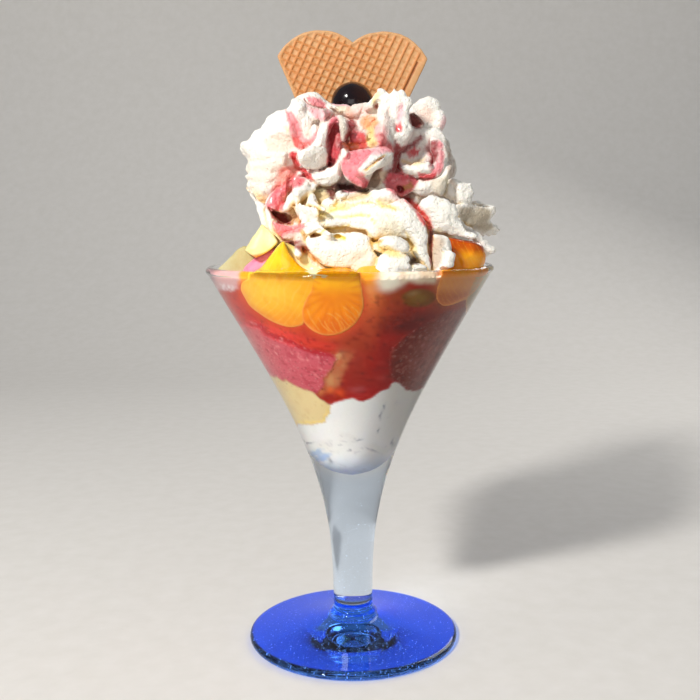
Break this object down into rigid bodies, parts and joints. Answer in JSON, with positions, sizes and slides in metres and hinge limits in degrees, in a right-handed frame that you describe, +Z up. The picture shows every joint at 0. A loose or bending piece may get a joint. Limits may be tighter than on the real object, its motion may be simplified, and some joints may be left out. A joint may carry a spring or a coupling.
{
  "type": "ice cream sundae",
  "caption": "Ice cream sundae in a clear conical stemmed glass with a blue foot: layered ice cream, fruit and sauce under a tall mound of whipped cream with a heart wafer and a cherry.",
  "frame": {"origin": "centre of the foot's flat underside, on the glass's axis", "axes": "+Z up along the stem, front of the sundae towards -Y, +X to the right seen from the front"},
  "size_m": [0.1275, 0.125, 0.2714],
  "materials": {
    "clear_glass": "clear polished glass",
    "blue_glass": "cobalt blue polished glass with tiny seed bubbles",
    "white_ice": "smooth frozen white ice cream",
    "vanilla_ice": "smooth frozen vanilla ice cream",
    "strawberry_ice": "frosty speckled strawberry ice cream",
    "mauve_ice": "frosty dusky strawberry ice cream",
    "pink_ice": "smooth pink ice cream",
    "red_sauce": "wet translucent fruit sauce",
    "mandarin": "wet mandarin segment with fine pulp",
    "peach": "wet preserved peach",
    "pear": "wet pale pear flesh",
    "apple": "moist apple flesh",
    "melon": "wet pale melon flesh",
    "grape": "translucent green grape",
    "cream": "whipped cream with torn ridges",
    "wafer": "dry baked wafer with a grid relief",
    "dark_cherry": "glossy nearly black cherry"
  },
  "bodies": {
    "root": {"glass_bowl": "clear_glass", "glass_foot": "blue_glass", "ice_cream_white": "white_ice", "ice_cream_vanilla": "vanilla_ice", "ice_cream_strawberry_left": "strawberry_ice", "ice_cream_strawberry_right": "mauve_ice", "strawberry_sauce": "red_sauce", "mandarin_segment_front": "mandarin", "peach_slice_front": "peach", "pear_crescent_front": "pear", "apple_wedge_left": "apple", "pear_slice_left": "pear", "mandarin_segment_right": "mandarin", "melon_slab_right": "melon", "grape_right": "grape", "peach_piece_front": "peach", "mandarin_segment_back": "mandarin", "peach_slice_back": "peach", "pear_slice_back": "pear", "grape_back": "grape", "mandarin_segment_left": "mandarin", "ice_cream_pink_scoop": "pink_ice", "whipped_cream": "cream", "wafer_heart": "wafer", "cherry": "dark_cherry"}
  },
  "joints": []
}
